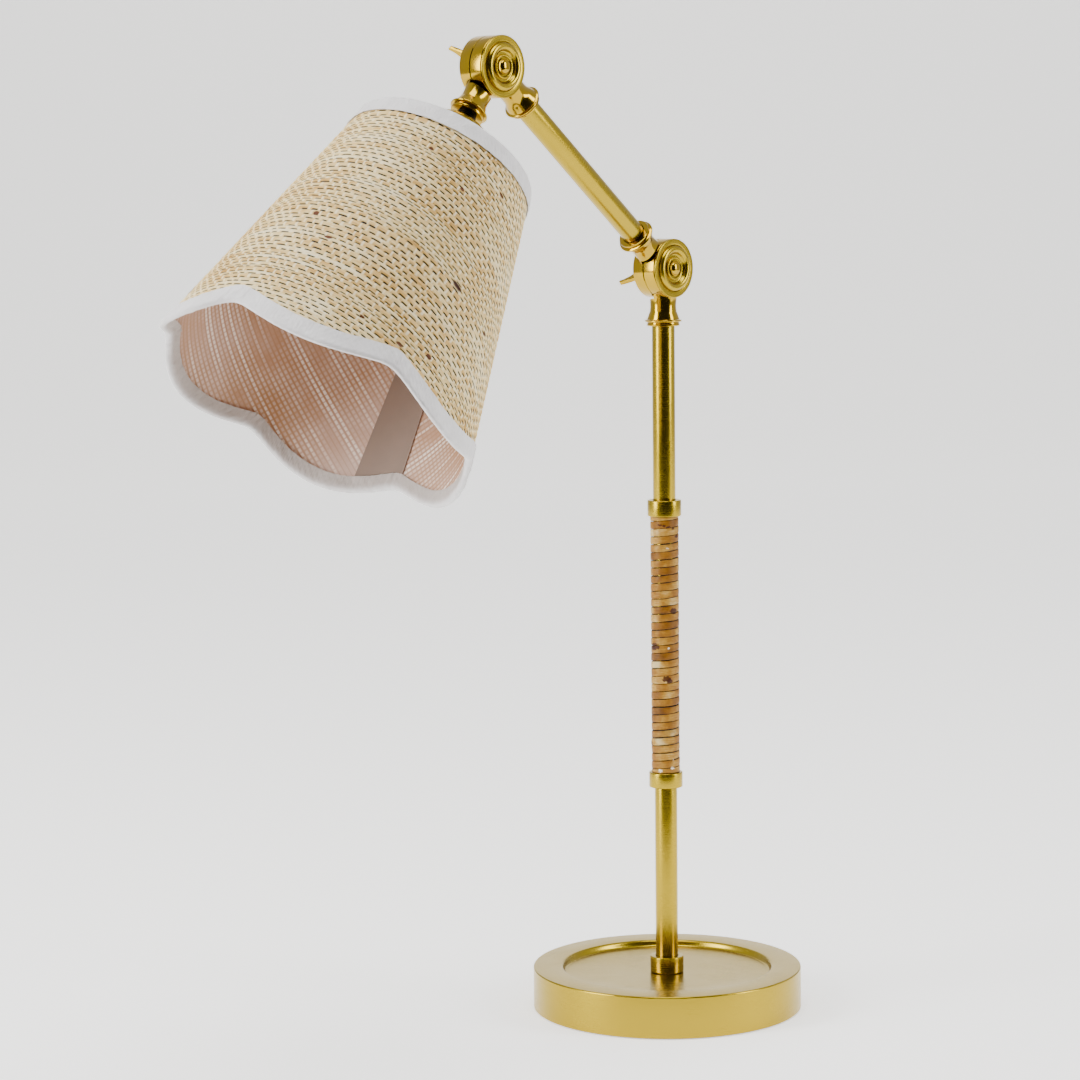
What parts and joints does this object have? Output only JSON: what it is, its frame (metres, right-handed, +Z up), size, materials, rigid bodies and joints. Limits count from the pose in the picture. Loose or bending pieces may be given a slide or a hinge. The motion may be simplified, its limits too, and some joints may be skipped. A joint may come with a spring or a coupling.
{
  "type": "swing arm desk lamp",
  "caption": "Desk lamp with a round weighted base, rattan wrapped brass pole, hinged arm on wing nut elbows and a scalloped woven raffia shade with cotton trim.",
  "frame": {"origin": "centre of the round base's underside, on the table", "axes": "+Z up along the pole; the arm swings in the XZ plane and leans towards -X; the elbow pivots run along Y, capped faces towards -Y and wing nuts towards +Y"},
  "size_m": [0.419, 0.1732, 0.5447],
  "materials": {
    "satin_brass": "satin, lacquered, fine turning marks",
    "contact_brass": "bright pressed sheet",
    "plain_steel": "zinc plated",
    "dark_steel": "blackened thread",
    "cast_iron": "as cast, painted black",
    "felt": "pressed felt",
    "rattan": "split rattan peel, satin",
    "raffia": "woven natural raffia, matt",
    "shade_film": "translucent laminated lining",
    "cotton_tape": "folded plain cotton bias tape",
    "seam_tape": "flat glued seam tape",
    "phenolic": "moulded, semi-gloss",
    "opal_glass": "opal white",
    "fibre": "vulcanised fibre, matt",
    "lead_sleeve": "smooth insulated lead"
  },
  "bodies": {
    "stand": {"base_shell": "satin_brass", "base_weight": "cast_iron", "base_felt": "felt", "base_washer": "plain_steel", "base_lock_nut": "plain_steel", "base_nipple": "plain_steel", "cord_bushing": "phenolic", "base_collar": "satin_brass", "pole_lower_tube": "satin_brass", "ferrule_lower": "satin_brass", "pole_core_tube": "satin_brass", "rattan_wrap": "rattan", "ferrule_upper": "satin_brass", "pole_upper_tube": "satin_brass", "pole_coupler_lower": "plain_steel", "pole_coupler_upper": "plain_steel", "inner_lead_stand": "lead_sleeve", "stand_elbow_half": "satin_brass", "lower_elbow_cap": "satin_brass", "lower_elbow_bolt": "satin_brass", "lower_elbow_washer": "fibre"},
    "arm": {"arm_elbow_half_lower": "satin_brass", "arm_tube": "satin_brass", "arm_elbow_half_upper": "satin_brass", "upper_elbow_cap": "satin_brass", "upper_elbow_bolt": "satin_brass", "upper_elbow_washer": "fibre", "inner_lead_arm": "lead_sleeve"},
    "head": {"head_elbow_half": "satin_brass", "head_nipple": "dark_steel", "holder_cup": "satin_brass", "holder_lock_nut": "plain_steel", "holder_body": "phenolic", "holder_screw_shell": "contact_brass", "holder_contact": "contact_brass", "shade_retaining_ring": "phenolic", "bulb_cap": "plain_steel", "bulb_globe": "opal_glass", "shade_skin": "raffia", "shade_liner": "shade_film", "shade_bottom_trim": "cotton_tape", "shade_top_trim": "cotton_tape", "shade_seam_strip": "seam_tape", "shade_fitter": "plain_steel", "inner_lead_head": "lead_sleeve"},
    "lower_wing_nut": {"lower_wing_nut": "satin_brass"},
    "upper_wing_nut": {"upper_wing_nut": "satin_brass"},
    "switch_knob": {"switch_knob": "phenolic"}
  },
  "joints": [
    {"name": "lower_elbow", "type": "hinge", "parent": "stand", "child": "arm", "pos_m": [0, 0, 0.42], "axis": [0, 1, 0], "range_deg": [-30, 45]},
    {"name": "upper_elbow", "type": "hinge", "parent": "arm", "child": "head", "pos_m": [-0.13826, 0, 0.52841], "axis": [0, 1, 0], "range_deg": [-20, 60]},
    {"name": "lower_wing_nut_turn", "type": "hinge", "parent": "stand", "child": "lower_wing_nut", "pos_m": [0, 0.013, 0.42], "axis": [0, 1, 0], "continuous": true},
    {"name": "upper_wing_nut_turn", "type": "hinge", "parent": "arm", "child": "upper_wing_nut", "pos_m": [-0.13826, 0.013, 0.52841], "axis": [0, 1, 0], "continuous": true},
    {"name": "switch_knob_turn", "type": "hinge", "parent": "head", "child": "switch_knob", "pos_m": [-0.17917, 0.028, 0.47662], "axis": [0, 1, 0], "continuous": true}
  ]
}
